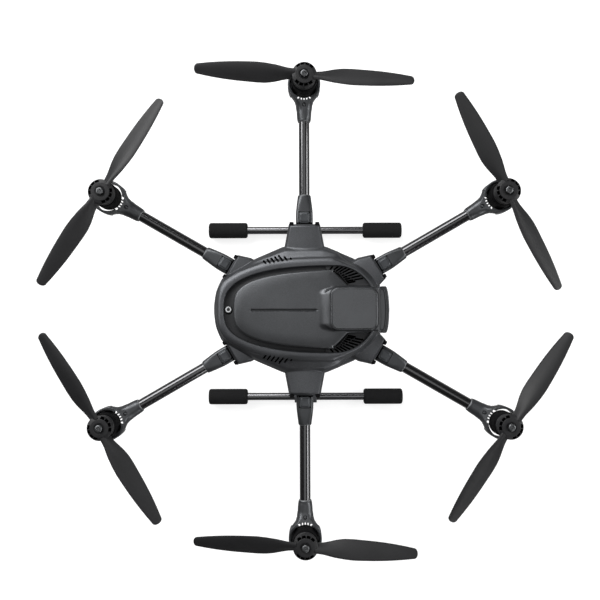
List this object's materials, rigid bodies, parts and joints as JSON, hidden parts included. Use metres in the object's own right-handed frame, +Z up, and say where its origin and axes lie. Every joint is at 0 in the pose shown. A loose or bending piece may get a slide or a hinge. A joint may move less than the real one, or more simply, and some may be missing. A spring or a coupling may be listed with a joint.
{
  "type": "hexacopter drone",
  "caption": "Camera drone with folding arms, two-blade propellers, retracting skid legs, slide-in battery and a camera on a three-axis gimbal.",
  "frame": {"origin": "on the ground, under the centre of the motor circle", "axes": "+X forward, towards the distance sensor; +Y to the aircraft's left; +Z up along the rotor shafts"},
  "size_m": [0.5442, 0.5148, 0.31],
  "materials": {
    "body_plastic": "satin moulded, dark grey",
    "trim_plastic": "satin moulded, near black",
    "sensor_plastic": "semi-gloss",
    "circuit_board": "solder mask",
    "servo_plastic": "fine moulded",
    "damper_rubber": "soft matte",
    "steel": "machined",
    "battery_plastic": "satin moulded",
    "button_plastic": "gloss",
    "gimbal_metal": "dark anodised",
    "camera_plastic": "semi-gloss",
    "tube_gloss": "polished composite",
    "foam_rubber": "foam, matte",
    "arm_plastic": "satin moulded, bluish grey",
    "motor_black": "black anodised",
    "propeller_plastic": "satin moulded"
  },
  "bodies": {
    "airframe": {"lower_shell": "body_plastic", "upper_shell": "body_plastic", "canopy": "body_plastic", "trim_band": "trim_plastic", "gps_cover": "body_plastic", "vent_grilles": "trim_plastic", "sonar_module": "sensor_plastic", "circuit_boards": "circuit_board", "gear_servos": "servo_plastic", "camera_mount": "trim_plastic", "dampers": "damper_rubber", "fasteners": "steel", "hinge_pins": "steel"},
    "battery_pack": {"battery": "battery_plastic"},
    "power_key": {"power_button": "button_plastic"},
    "leg_left": {"leg_strut_left": "trim_plastic", "skid_tube_left": "tube_gloss", "skid_grips_left": "foam_rubber"},
    "leg_right": {"leg_strut_right": "trim_plastic", "skid_tube_right": "tube_gloss", "skid_grips_right": "foam_rubber"},
    "gimbal_yaw": {"gimbal_yaw_arm": "gimbal_metal"},
    "gimbal_roll": {"gimbal_roll_arm": "gimbal_metal"},
    "camera_head": {"camera": "camera_plastic"},
    "arm_front_left": {"arm_root_front_left": "arm_plastic", "arm_tube_front_left": "tube_gloss", "motor_mount_front_left": "body_plastic"},
    "rotor_front_left": {"motor_bell_front_left": "motor_black", "propeller_front_left": "propeller_plastic"},
    "release_front_left": {"release_button_front_left": "arm_plastic"},
    "arm_left": {"arm_root_left": "arm_plastic", "arm_tube_left": "tube_gloss", "motor_mount_left": "body_plastic"},
    "rotor_left": {"motor_bell_left": "motor_black", "propeller_left": "propeller_plastic"},
    "release_left": {"release_button_left": "arm_plastic"},
    "arm_rear_left": {"arm_root_rear_left": "arm_plastic", "arm_tube_rear_left": "tube_gloss", "motor_mount_rear_left": "body_plastic"},
    "rotor_rear_left": {"motor_bell_rear_left": "motor_black", "propeller_rear_left": "propeller_plastic"},
    "release_rear_left": {"release_button_rear_left": "arm_plastic"},
    "arm_rear_right": {"arm_root_rear_right": "arm_plastic", "arm_tube_rear_right": "tube_gloss", "motor_mount_rear_right": "body_plastic"},
    "rotor_rear_right": {"motor_bell_rear_right": "motor_black", "propeller_rear_right": "propeller_plastic"},
    "release_rear_right": {"release_button_rear_right": "arm_plastic"},
    "arm_right": {"arm_root_right": "arm_plastic", "arm_tube_right": "tube_gloss", "motor_mount_right": "body_plastic"},
    "rotor_right": {"motor_bell_right": "motor_black", "propeller_right": "propeller_plastic"},
    "release_right": {"release_button_right": "arm_plastic"},
    "arm_front_right": {"arm_root_front_right": "arm_plastic", "arm_tube_front_right": "tube_gloss", "motor_mount_front_right": "body_plastic"},
    "rotor_front_right": {"motor_bell_front_right": "motor_black", "propeller_front_right": "propeller_plastic"},
    "release_front_right": {"release_button_front_right": "arm_plastic"}
  },
  "joints": [
    {"name": "arm_front_left_fold", "type": "hinge", "parent": "airframe", "child": "arm_front_left", "pos_m": [0.07275, 0.042, 0.25], "axis": [-0.5, 0.866, 0], "range_deg": [0, 90]},
    {"name": "arm_left_fold", "type": "hinge", "parent": "airframe", "child": "arm_left", "pos_m": [0, 0.084, 0.25], "axis": [1, 0, 0], "range_deg": [-75, 0]},
    {"name": "arm_rear_left_fold", "type": "hinge", "parent": "airframe", "child": "arm_rear_left", "pos_m": [-0.07275, 0.042, 0.25], "axis": [-0.5, -0.866, 0], "range_deg": [0, 90]},
    {"name": "arm_rear_right_fold", "type": "hinge", "parent": "airframe", "child": "arm_rear_right", "pos_m": [-0.07275, -0.042, 0.25], "axis": [-0.5, 0.866, 0], "range_deg": [-90, 0]},
    {"name": "arm_right_fold", "type": "hinge", "parent": "airframe", "child": "arm_right", "pos_m": [0, -0.084, 0.25], "axis": [1, 0, 0], "range_deg": [0, 75]},
    {"name": "arm_front_right_fold", "type": "hinge", "parent": "airframe", "child": "arm_front_right", "pos_m": [0.07275, -0.042, 0.25], "axis": [-0.5, -0.866, 0], "range_deg": [-90, 0]},
    {"name": "rotor_front_left_spin", "type": "hinge", "parent": "arm_front_left", "child": "rotor_front_left", "pos_m": [0.20785, 0.12, 0.29], "axis": [0, 0, 1], "continuous": true},
    {"name": "rotor_left_spin", "type": "hinge", "parent": "arm_left", "child": "rotor_left", "pos_m": [0, 0.24, 0.29], "axis": [0, 0, 1], "continuous": true},
    {"name": "rotor_rear_left_spin", "type": "hinge", "parent": "arm_rear_left", "child": "rotor_rear_left", "pos_m": [-0.20785, 0.12, 0.29], "axis": [0, 0, 1], "continuous": true},
    {"name": "rotor_rear_right_spin", "type": "hinge", "parent": "arm_rear_right", "child": "rotor_rear_right", "pos_m": [-0.20785, -0.12, 0.29], "axis": [0, 0, 1], "continuous": true},
    {"name": "rotor_right_spin", "type": "hinge", "parent": "arm_right", "child": "rotor_right", "pos_m": [0, -0.24, 0.29], "axis": [0, 0, 1], "continuous": true},
    {"name": "rotor_front_right_spin", "type": "hinge", "parent": "arm_front_right", "child": "rotor_front_right", "pos_m": [0.20785, -0.12, 0.29], "axis": [0, 0, 1], "continuous": true},
    {"name": "release_front_left_press", "type": "slide", "parent": "arm_front_left", "child": "release_front_left", "axis": [0, 0, -1], "range_m": [0, 0.0015], "stiffness_N_per_m": 150},
    {"name": "release_left_press", "type": "slide", "parent": "arm_left", "child": "release_left", "axis": [0, 0, -1], "range_m": [0, 0.0015], "stiffness_N_per_m": 150},
    {"name": "release_rear_left_press", "type": "slide", "parent": "arm_rear_left", "child": "release_rear_left", "axis": [0, 0, -1], "range_m": [0, 0.0015], "stiffness_N_per_m": 150},
    {"name": "release_rear_right_press", "type": "slide", "parent": "arm_rear_right", "child": "release_rear_right", "axis": [0, 0, -1], "range_m": [0, 0.0015], "stiffness_N_per_m": 150},
    {"name": "release_right_press", "type": "slide", "parent": "arm_right", "child": "release_right", "axis": [0, 0, -1], "range_m": [0, 0.0015], "stiffness_N_per_m": 150},
    {"name": "release_front_right_press", "type": "slide", "parent": "arm_front_right", "child": "release_front_right", "axis": [0, 0, -1], "range_m": [0, 0.0015], "stiffness_N_per_m": 150},
    {"name": "leg_left_swing", "type": "hinge", "parent": "airframe", "child": "leg_left", "pos_m": [0.003, 0.066, 0.233], "axis": [1, 0, 0], "range_deg": [0, 70]},
    {"name": "leg_right_swing", "type": "hinge", "parent": "airframe", "child": "leg_right", "pos_m": [0.003, -0.066, 0.233], "axis": [1, 0, 0], "range_deg": [-70, 0]},
    {"name": "battery_slide", "type": "slide", "parent": "airframe", "child": "battery_pack", "axis": [-1, 0, 0], "range_m": [0, 0.112]},
    {"name": "power_press", "type": "slide", "parent": "airframe", "child": "power_key", "axis": [0, 0, -1], "range_m": [0, 0.001], "stiffness_N_per_m": 150},
    {"name": "gimbal_yaw_turn", "type": "hinge", "parent": "airframe", "child": "gimbal_yaw", "pos_m": [0.016, 0, 0.19], "axis": [0, 0, 1], "continuous": true},
    {"name": "gimbal_roll_turn", "type": "hinge", "parent": "gimbal_yaw", "child": "gimbal_roll", "pos_m": [0.016, 0, 0.142], "axis": [1, 0, 0], "range_deg": [-30, 30]},
    {"name": "camera_tilt", "type": "hinge", "parent": "gimbal_roll", "child": "camera_head", "pos_m": [0.016, 0, 0.142], "axis": [0, 1, 0], "range_deg": [-20, 90]}
  ]
}
